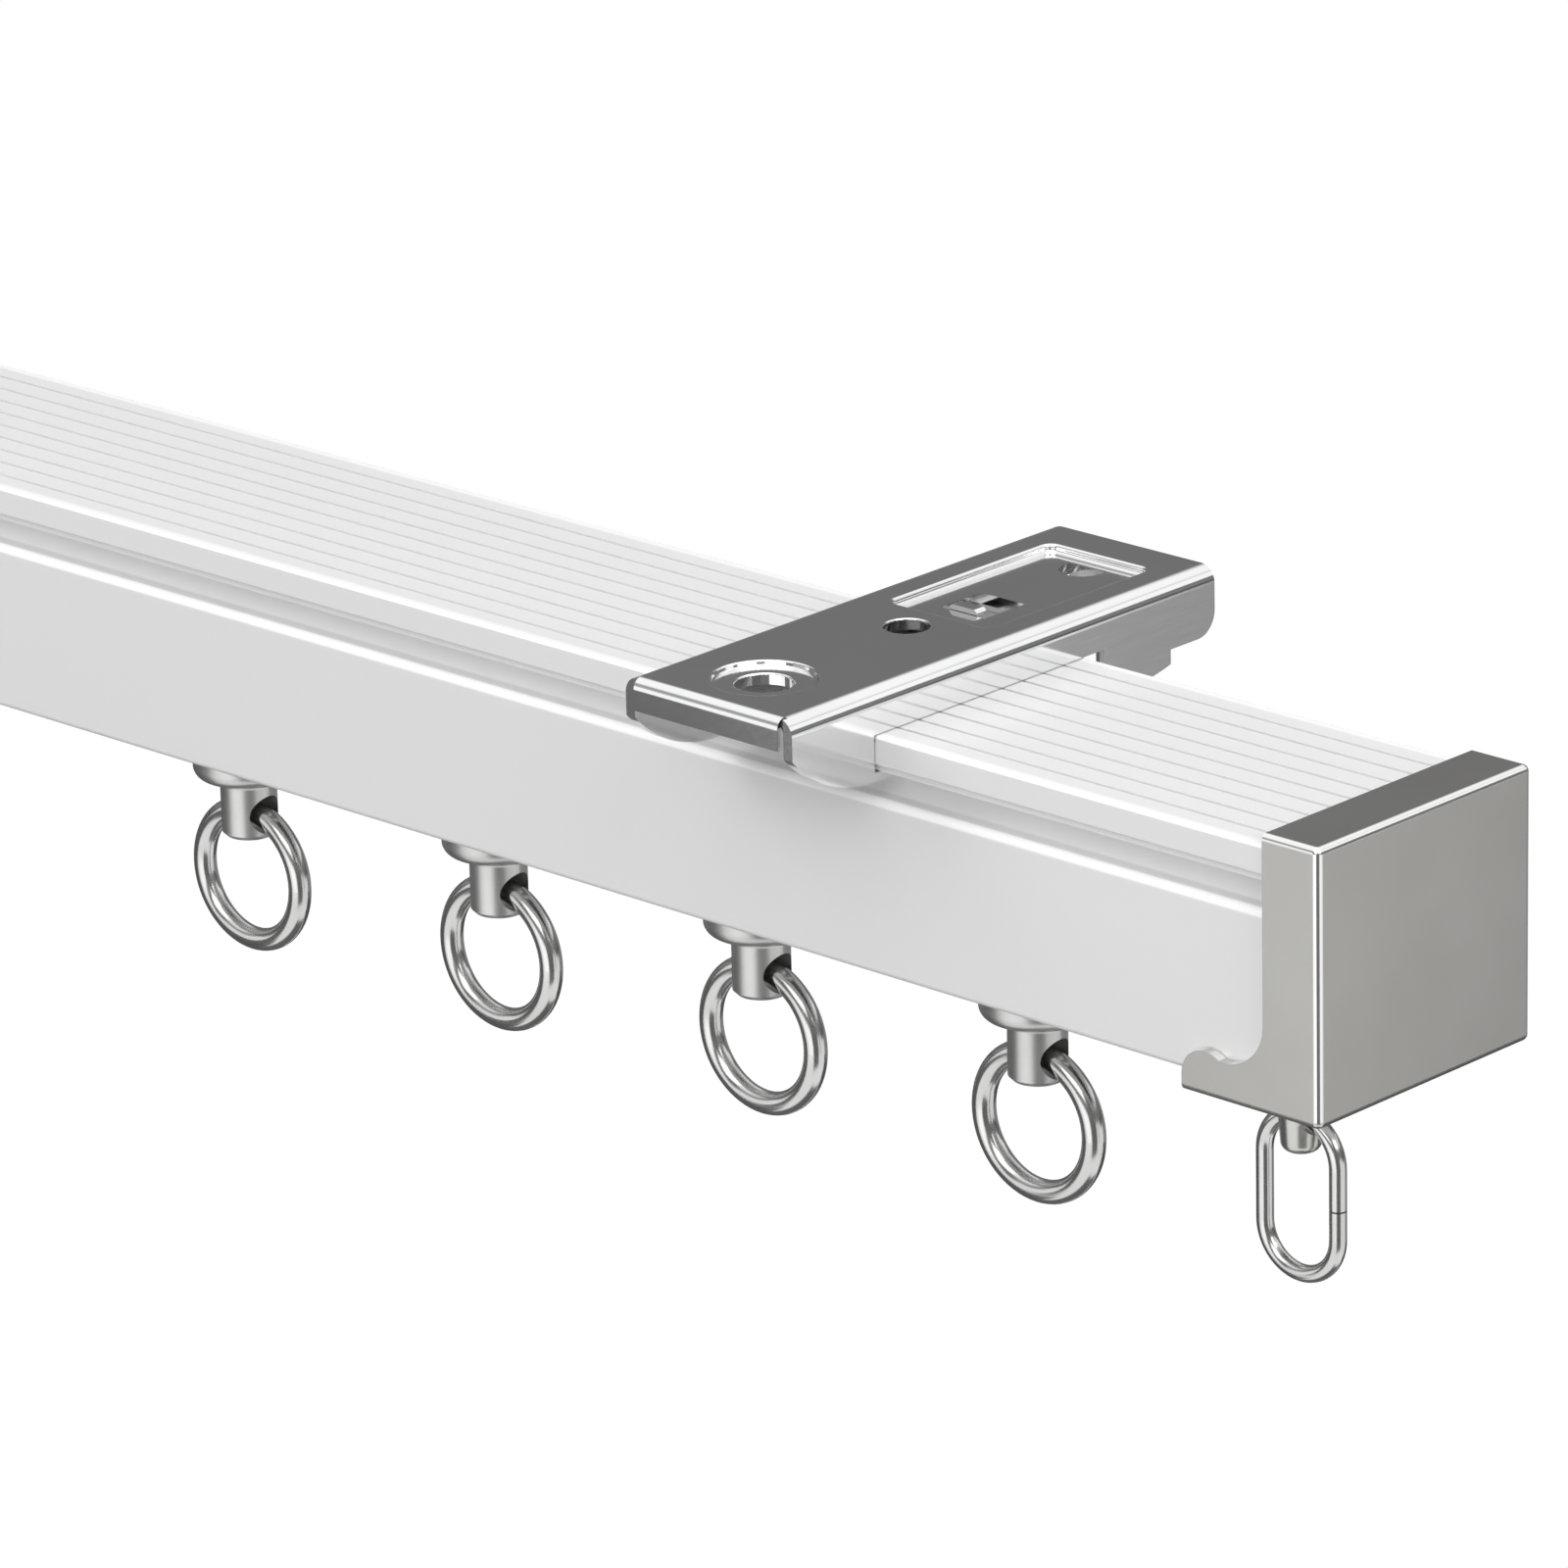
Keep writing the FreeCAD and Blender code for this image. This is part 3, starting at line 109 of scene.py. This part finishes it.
def relief(tree, shader, height, depth, normal=None):
    """Fine relief of the given depth, laid over an earlier relief if there is one."""
    node = tree.nodes.new("ShaderNodeBump")
    node.inputs["Distance"].default_value = depth
    tree.links.new(height, node.inputs["Height"])
    if normal is not None:
        tree.links.new(normal, node.inputs["Normal"])
    tree.links.new(node.outputs["Normal"], shader.inputs["Normal"])
    return node.outputs["Normal"]


def paint(objects, material):
    """Puts one material on all slots of the objects."""
    for item in objects:
        item.data.materials.clear()
        item.data.materials.append(material)
    print(material.name, "on", len(objects), "pieces")

# %% [markdown]
# A finish is seldom even. A mask says where it changes: 1 where the second colour or number
# holds, and 0 where the first does. Sums on plain numbers make masks, and a mix uses them.

# %% Helpers for sums and mixes
def math_node(tree, operation, first, second=None):
    """One sum on plain numbers; either input may be a link or a number."""
    node = tree.nodes.new("ShaderNodeMath")
    node.operation = operation
    for socket, value in zip(node.inputs, (first, second)):
        if isinstance(value, bpy.types.NodeSocket):
            tree.links.new(value, socket)
        elif value is not None:
            socket.default_value = value
    return node.outputs["Value"]


def mix_numbers(tree, factor, first, second):
    """A mix of two plain numbers by a mask."""
    node = tree.nodes.new("ShaderNodeMix")
    tree.links.new(factor, node.inputs["Factor"])
    for socket, value in zip((node.inputs["A"], node.inputs["B"]), (first, second)):
        if isinstance(value, bpy.types.NodeSocket):
            tree.links.new(value, socket)
        else:
            socket.default_value = value
    return node.outputs["Result"]


def mix_colours(tree, factor, first, second):
    """A mix of two colours; either may be a link or three channels."""
    node = tree.nodes.new("ShaderNodeMix")
    node.data_type = "RGBA"
    tree.links.new(factor, node.inputs["Factor"])
    for name, colour in (("A", first), ("B", second)):
        socket = [item for item in node.inputs if item.name == name and item.type == "RGBA"][0]
        if isinstance(colour, bpy.types.NodeSocket):
            tree.links.new(colour, socket)
        else:
            socket.default_value = (*colour, 1)
    return [item for item in node.outputs if item.type == "RGBA"][0]

# %% [markdown]
# The rounds between square faces are found by their direction. On a flat face one part of the
# normal is all of it, and on a round each part is less. That needs no drawing by hand, and the
# mask stays in place when the piece moves.

# %% Helpers for rounded edges
FLAT_ENOUGH = 0.998
ROUND_ENOUGH = 0.97


def above_height(tree, place, lowest):
    """1 above a height and 0 below it."""
    split = tree.nodes.new("ShaderNodeSeparateXYZ")
    tree.links.new(place, split.inputs["Vector"])
    return math_node(tree, "GREATER_THAN", split.outputs["Z"], lowest)


def rounded_edges(tree, lowest):
    """Near 1 on the rounds between square faces, 0 on those faces and on all below a height."""
    place = tree.nodes.new("ShaderNodeTexCoord")
    normal = tree.nodes.new("ShaderNodeSeparateXYZ")
    tree.links.new(place.outputs["Normal"], normal.inputs["Vector"])
    parts = [math_node(tree, "ABSOLUTE", normal.outputs[axis]) for axis in "XYZ"]
    most = math_node(tree, "MAXIMUM", math_node(tree, "MAXIMUM", parts[0], parts[1]), parts[2])
    lean = tree.nodes.new("ShaderNodeMapRange")
    lean.inputs["From Min"].default_value = FLAT_ENOUGH
    lean.inputs["From Max"].default_value = ROUND_ENOUGH
    tree.links.new(most, lean.inputs["Value"])
    above = above_height(tree, place.outputs["Object"], lowest)
    return math_node(tree, "MULTIPLY", lean.outputs["Result"], above)

# %% [markdown]
# The rail is extruded aluminium with a white baked coating. It is smooth but never a mirror. A
# painted highlight makes every rounded edge and the top's two long rims whiter. A painted shade
# makes it greyer deep in the fine grooves and close to other pieces, where less light reaches.

# %% White coating on the rail
RAIL_LOWER_EDGE = -24.9 * MM
RIB_FOOT = -4.5 * MM
TOP_FACE = -4.1 * MM
RIM_START, RIM_FULL = 12.0 * MM, 12.5 * MM
GROOVE_REACH = 0.3 * MM


def painted_shade_mask(tree, reach):
    """A mask for painted shade from ambient occlusion: 0 in the open and up to 1 in a narrow
    groove or close to another piece.
    """
    node = tree.nodes.new("ShaderNodeAmbientOcclusion")
    node.samples = 8
    node.inputs["Distance"].default_value = reach
    return ramp(tree, node.outputs["AO"], [(0.4, 1.0), (0.9, 0.0)])


def top_rims(tree, place):
    """1 along the two long rims of the rail, and 0 over the ribs between them."""
    split = tree.nodes.new("ShaderNodeSeparateXYZ")
    tree.links.new(place, split.inputs["Vector"])
    rim = tree.nodes.new("ShaderNodeMapRange")
    rim.inputs["From Min"].default_value = RIM_START
    rim.inputs["From Max"].default_value = RIM_FULL
    tree.links.new(math_node(tree, "ABSOLUTE", split.outputs["Y"]), rim.inputs["Value"])
    return rim.outputs["Result"]


def white_coating():
    material, tree, shader, place = new_material("white_coating")
    peel = noise(tree, place, 0.9 * MM, detail=1)
    drift = noise(tree, place, 60 * MM, detail=1, stretch=(0.4, 2, 2))
    face = two_tones(tree, drift, (0.80, 0.80, 0.80), (0.82, 0.82, 0.82))
    # Painted highlight: the top's two long rims and every rounded edge are made whiter.
    rims = math_node(tree, "MULTIPLY", top_rims(tree, place), above_height(tree, place, TOP_FACE))
    rims_painted_highlight = mix_colours(tree, rims, face, (0.96, 0.96, 0.96))
    edges = mix_colours(tree, rounded_edges(tree, RAIL_LOWER_EDGE), rims_painted_highlight, (1.0, 1.0, 1.0))
    # Painted shade: the coating is greyed in narrow grooves among the ribs and near other pieces.
    among_ribs = above_height(tree, place, RIB_FOOT)
    painted_groove_shade = math_node(tree, "MULTIPLY", painted_shade_mask(tree, GROOVE_REACH), among_ribs)
    colour = mix_colours(tree, painted_groove_shade, edges, (0.46, 0.46, 0.46))
    tree.links.new(colour, shader.inputs["Base Color"])
    tree.links.new(spread(tree, peel, 0.22, 0.24), shader.inputs["Roughness"])
    relief(tree, shader, peel, 0.0003 * MM)
    return material


paint(nodes_named("rail"), white_coating())

# %% [markdown]
# The end caps are zinc castings with a satin nickel finish. The metal is warm grey and finely
# grained on its faces. Tumbling before plating has polished the rounded edges, so they are less
# rough, and a painted highlight in their colour makes them bright.

# %% Satin finish on the caps
CAP_LOWER_EDGE = -26.2 * MM


def satin_casting():
    material, tree, shader, place = new_material("satin_casting")
    grain = noise(tree, place, 0.12 * MM, detail=2)
    cloud = noise(tree, place, 9 * MM, detail=3)
    face = two_tones(tree, cloud, (0.61, 0.605, 0.58), (0.65, 0.645, 0.62))
    # Rounded edges: a painted highlight in the colour, and a lower roughness from the tumbling
    # polish.
    polish_and_highlight = rounded_edges(tree, CAP_LOWER_EDGE)
    colour = mix_colours(tree, polish_and_highlight, face, (0.93, 0.93, 0.92))
    tree.links.new(colour, shader.inputs["Base Color"])
    shader.inputs["Metallic"].default_value = 1.0
    matt = spread(tree, grain, 0.23, 0.27)
    tree.links.new(mix_numbers(tree, polish_and_highlight, matt, 0.12), shader.inputs["Roughness"])
    relief(tree, shader, grain, 0.0002 * MM)
    return material


paint(nodes_named("cap_right", "cap_left"), satin_casting())

# %% [markdown]
# Bracket and latch are pressed from steel sheet and plated bright. Pressing leaves the sheet
# very slightly wavy, which bends its reflections, and handling leaves hair-fine scratches.

# %% Bright plating on brackets and latches
def plated_sheet():
    material, tree, shader, place = new_material("plated_sheet")
    wave = noise(tree, place, 14 * MM, detail=1)
    hairs = noise(tree, place, 0.25 * MM, detail=3, stretch=(1, 0.06, 1))
    colour = two_tones(tree, wave, (0.90, 0.90, 0.905), (0.94, 0.94, 0.945))
    tree.links.new(colour, shader.inputs["Base Color"])
    shader.inputs["Metallic"].default_value = 1.0
    tree.links.new(spread(tree, hairs, 0.09, 0.12), shader.inputs["Roughness"])
    bent = relief(tree, shader, wave, 0.01 * MM)
    relief(tree, shader, hairs, 0.0002 * MM, bent)
    return material


paint(nodes_named("bracket_", "latch_"), plated_sheet())

# %% [markdown]
# Rings and links are drawn wire with a nickel plating that is fairly bright. The eyes are turned
# from bar and tumbled, so theirs is softer. Both are one kind of metal with its own numbers.

# %% Nickel plating on rings, links and eyes
def nickel(name, dark, light, roughness):
    material, tree, shader, place = new_material(name)
    speck = noise(tree, place, 0.3 * MM, detail=3)
    cloud = noise(tree, place, 4 * MM, detail=2)
    tree.links.new(two_tones(tree, cloud, dark, light), shader.inputs["Base Color"])
    shader.inputs["Metallic"].default_value = 1.0
    tree.links.new(spread(tree, speck, *roughness), shader.inputs["Roughness"])
    relief(tree, shader, speck, 0.0001 * MM)
    return material


wire = nickel("plated_wire", (0.64, 0.64, 0.635), (0.70, 0.70, 0.695), (0.17, 0.20))
turned = nickel("turned_nickel", (0.62, 0.62, 0.615), (0.67, 0.67, 0.665), (0.34, 0.38))
paint(nodes_named("_ring", "link_"), wire)
paint(nodes_named("_eye"), turned)

# %% [markdown]
# What little shows of the inside is plain: self-lubricating white plastic for the hangers and
# wheels, zinc-plated screws, and oiled spring wire.

# %% Inner pieces
def moulded_plastic():
    material, tree, shader, place = new_material("moulded_plastic")
    mould = noise(tree, place, 0.4 * MM, detail=2)
    colour = two_tones(tree, mould, (0.76, 0.76, 0.74), (0.80, 0.80, 0.78))
    tree.links.new(colour, shader.inputs["Base Color"])
    tree.links.new(spread(tree, mould, 0.40, 0.52), shader.inputs["Roughness"])
    relief(tree, shader, mould, 0.004 * MM)
    return material


def small_steel(name, dark, light):
    material, tree, shader, place = new_material(name)
    speck = noise(tree, place, 0.3 * MM, detail=3)
    tree.links.new(two_tones(tree, speck, dark, light), shader.inputs["Base Color"])
    shader.inputs["Metallic"].default_value = 1.0
    tree.links.new(spread(tree, speck, 0.28, 0.40), shader.inputs["Roughness"])
    relief(tree, shader, speck, 0.002 * MM)
    return material


paint(nodes_named("_hanger", "_wheels"), moulded_plastic())
paint(nodes_named("cap_screws"), small_steel("zinc_screw", (0.34, 0.34, 0.35), (0.44, 0.44, 0.45)))
paint(nodes_named("spring_"), small_steel("spring_wire", (0.40, 0.40, 0.39), (0.52, 0.52, 0.50)))

# %% [markdown]
# A latch that is pushed back shortens the coil spring behind it. Here each spring only gets a
# mesh of its own, apart from the one it was imported with.

# %% Springs with meshes of their own
for side in ("right", "left"):
    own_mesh(nodes["spring_" + side])

# %% [markdown]
# The picture has a plain white ground. A floor far below the track gives it, because a track
# hangs from a ceiling and touches nothing. The floor is shown white to the camera, to metal and
# to anything clear, and stays a plain pale floor for the light that bounces off it.

# %% Floor
FLOOR_DROP = 1.2
FLOOR_SIZE = 24.0

bpy.ops.object.select_all(action="DESELECT")
bpy.ops.mesh.primitive_plane_add(size=FLOOR_SIZE, location=(0, 0, -FLOOR_DROP))
floor = bpy.context.object
floor.name = "floor"


def seen_directly(tree):
    """1 for camera, mirror and clear rays, and 0 for the light that spreads."""
    path = tree.nodes.new("ShaderNodeLightPath").outputs
    seen = math_node(tree, "MAXIMUM", path["Is Camera Ray"], path["Is Glossy Ray"])
    return math_node(tree, "MAXIMUM", seen, path["Is Transmission Ray"])


def pale_floor():
    material = bpy.data.materials.new("pale_floor")
    material.use_nodes = True
    tree = material.node_tree
    paper = tree.nodes["Principled BSDF"]
    paper.inputs["Base Color"].default_value = (0.8, 0.8, 0.8, 1)
    paper.inputs["Roughness"].default_value = 0.9
    glow = tree.nodes.new("ShaderNodeEmission")
    glow.inputs["Strength"].default_value = 1.0
    mix = tree.nodes.new("ShaderNodeMixShader")
    tree.links.new(seen_directly(tree), mix.inputs["Fac"])
    tree.links.new(paper.outputs["BSDF"], mix.inputs[1])
    tree.links.new(glow.outputs["Emission"], mix.inputs[2])
    tree.links.new(mix.outputs["Shader"], tree.nodes["Material Output"].inputs["Surface"])
    return material


floor.data.materials.append(pale_floor())
print("floor", FLOOR_SIZE, "m wide,", FLOOR_DROP, "m below the ceiling plane")

# %% [markdown]
# Bright metal only looks like metal when it has something dark to mirror. Here the world is a
# room for that: white at and below the horizon, a grey band of wall over it, and a white
# ceiling. The levels go from straight down, at 0, over the horizon, at 0.5, to straight up, at 1.
# Matt surfaces get one plain level instead, and the camera sees plain white, so that a view from
# below has the same ground.

# %% World
PLAIN_LEVEL = 0.45
ROOM_LEVELS = [(0.50, 1.0), (0.51, 0.22), (0.64, 0.165), (0.73, 0.18), (0.83, 1.0)]


def studio_world():
    world = bpy.data.worlds.new("studio")
    bpy.context.scene.world = world
    world.use_nodes = True
    tree = world.node_tree
    plain = tree.nodes["Background"]
    plain.inputs["Color"].default_value = (1, 1, 1, 1)
    plain.inputs["Strength"].default_value = PLAIN_LEVEL
    place = tree.nodes.new("ShaderNodeTexCoord")
    split = tree.nodes.new("ShaderNodeSeparateXYZ")
    tree.links.new(place.outputs["Generated"], split.inputs["Vector"])
    height = tree.nodes.new("ShaderNodeMapRange")
    height.inputs["From Min"].default_value = -1.0
    tree.links.new(split.outputs["Z"], height.inputs["Value"])
    room_colour = ramp(tree, height.outputs["Result"], ROOM_LEVELS)
    room = tree.nodes.new("ShaderNodeBackground")
    path = tree.nodes.new("ShaderNodeLightPath").outputs
    ground = mix_colours(tree, path["Is Camera Ray"], room_colour, (1.0, 1.0, 1.0))
    tree.links.new(ground, room.inputs["Color"])
    mix = tree.nodes.new("ShaderNodeMixShader")
    tree.links.new(seen_directly(tree), mix.inputs["Fac"])
    tree.links.new(plain.outputs["Background"], mix.inputs[1])
    tree.links.new(room.outputs["Background"], mix.inputs[2])
    tree.links.new(mix.outputs["Shader"], tree.nodes["World Output"].inputs["Surface"])


studio_world()
print("world level", PLAIN_LEVEL)

# %% [markdown]
# A photographer stands cards round a piece of chrome, so that its round edges show light and
# dark lines. Those at the back and the left stand close, so that steep reflections meet them
# too, the back one has a dark foot, and a dark card lies right below. The front stays open to the
# white floor. Two cards above the horizon light the walls of the bracket's recess, and two low
# ones at the horizon draw the lines along its bends. Only mirror rays meet the cards: no camera
# sees them, and none shades the track.

# %% Cards round the track
CARD_CENTRE = Vector((0.13, 0, 0))
CARD_TOP = 0.02


def add_card(name, place, turn, width, height, level):
    """A card of one even grey that only mirror rays meet."""
    bpy.ops.object.select_all(action="DESELECT")
    bpy.ops.mesh.primitive_plane_add(size=1, location=place, rotation=turn)
    card = bpy.context.object
    card.name = name
    card.scale = (width, height, 1)
    for kind in ("camera", "diffuse", "shadow", "transmission"):
        setattr(card, "visible_" + kind, False)
    material = bpy.data.materials.new(name)
    material.use_nodes = True
    tree = material.node_tree
    tree.nodes.remove(tree.nodes["Principled BSDF"])
    glow = tree.nodes.new("ShaderNodeEmission")
    glow.inputs["Color"].default_value = (level, level, level, 1)
    tree.links.new(glow.outputs["Emission"], tree.nodes["Material Output"].inputs["Surface"])
    card.data.materials.append(material)
    print(name, "level", level)


def stand_card(name, turns, away, level, top=CARD_TOP, foot=-FLOOR_DROP):
    """An upright card between two compass angles, which count from +X towards +Y."""
    low, high = (math.radians(angle) for angle in turns)
    middle = (low + high) / 2
    place = CARD_CENTRE + away * Vector((math.cos(middle), math.sin(middle), 0))
    place.z = (top + foot) / 2
    width = 2 * away * math.tan((high - low) / 2)
    add_card(name, place, (math.pi / 2, 0, middle + math.pi / 2), width, top - foot, level)


stand_card("left_card", (126, 229.6), 0.75, 0.12)
stand_card("back_card", (46, 126), 0.85, 0.29, foot=-0.45)
stand_card("back_foot", (46, 126), 0.85, 0.10, top=-0.45)
stand_card("right_card", (-12, 46), 1.5, 0.92)
stand_card("camera_card", (-66, -17), 1.6, 0.16)
stand_card("high_right_card", (22, 72), 0.9, 1.0, top=0.62, foot=0.27)
stand_card("right_rim_card", (20, 72), 0.8, 0.10, foot=-0.10)
stand_card("high_left_card", (-155, -112), 0.9, 0.42, top=0.44, foot=0.22)
stand_card("left_rim_card", (-155, -115), 0.7, 1.0, top=0.17, foot=-0.12)
add_card("low_card", (0.05, 0.1, -0.9), (0, 0, 0), 1.0, 0.9, 0.15)

# %% [markdown]
# Six soft boxes do the modelling. The one high at the left throws the bracket's shadow, and the
# ones in front and at the right lighten it. One is overhead for the ribbed top, and a weak one
# low in front opens up the groove below the flange. The one behind is for the rail's far side.
# The metal mirrors neither that one nor the one high at the left. All are large for such a small
# object, so shadows have no edge.

# %% Soft boxes
def soft_box(name, place, size, watts, mirrored=True):
    """An area light that looks at the track, and that metal shows if it is mirrored."""
    data = bpy.data.lights.new(name, "AREA")
    data.shape = "RECTANGLE"
    data.size, data.size_y = size
    data.energy = watts
    lamp = bpy.data.objects.new(name, data)
    bpy.context.scene.collection.objects.link(lamp)
    lamp.location = place
    lamp.rotation_euler = (-Vector(place)).to_track_quat("-Z", "Y").to_euler()
    lamp.visible_camera = False
    lamp.visible_glossy = mirrored
    print(name, watts, "W")


soft_box("overhead", (0.15, -0.10, 1.0), (1.2, 0.8), 3.6)
soft_box("high_left", (-0.74, -0.77, 0.78), (0.8, 0.8), 6.5, mirrored=False)
soft_box("high_front", (0.45, -1.1, 0.75), (1.0, 0.8), 4)
soft_box("high_right", (1.1, -0.15, 0.75), (0.8, 0.8), 4.5)
soft_box("low_front", (0.10, -1.3, -0.25), (1.0, 0.6), 0.8)
soft_box("behind", (-0.30, 1.2, 0.35), (1.0, 0.8), 3.0, mirrored=False)

# %% [markdown]
# The photograph was taken with a long lens from the front right and a little above. The target
# is the upper front corner of the right-hand cap, and the two shifts slide the view from there,
# in the picture's own directions.

# %% Camera
AZIMUTH, ELEVATION, ROLL = math.radians(43.59), math.radians(19.39), math.radians(-1.33)
DISTANCE = 0.7447
SENSOR = 36.0
FOCAL_PIXELS, PHOTO_PIXELS = 9555.8, 1600
SHIFT_RIGHT, SHIFT_UP = -42.34 * MM, 6.26 * MM


def photo_camera():
    low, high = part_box("cap_right")
    corner = Vector((high.x, low.y, high.z))
    turn = Matrix.Rotation(AZIMUTH, 3, "Z") @ Matrix.Rotation(math.pi / 2 - ELEVATION, 3, "X")
    target = corner + turn @ Vector((SHIFT_RIGHT, SHIFT_UP, 0))
    rolled = turn @ Matrix.Rotation(ROLL, 3, "Z")
    data = bpy.data.cameras.new("camera")
    data.sensor_width = SENSOR
    data.lens = SENSOR * FOCAL_PIXELS / PHOTO_PIXELS
    data.clip_end = 100
    camera = bpy.data.objects.new("camera", data)
    bpy.context.scene.collection.objects.link(camera)
    place = target + rolled @ Vector((0, 0, DISTANCE))
    camera.matrix_world = Matrix.Translation(place) @ rolled.to_4x4()
    bpy.context.scene.camera = camera
    print("camera at", [round(value, 3) for value in place], "lens", round(data.lens, 1))


photo_camera()
bpy.context.scene.view_settings.view_transform = "Standard"
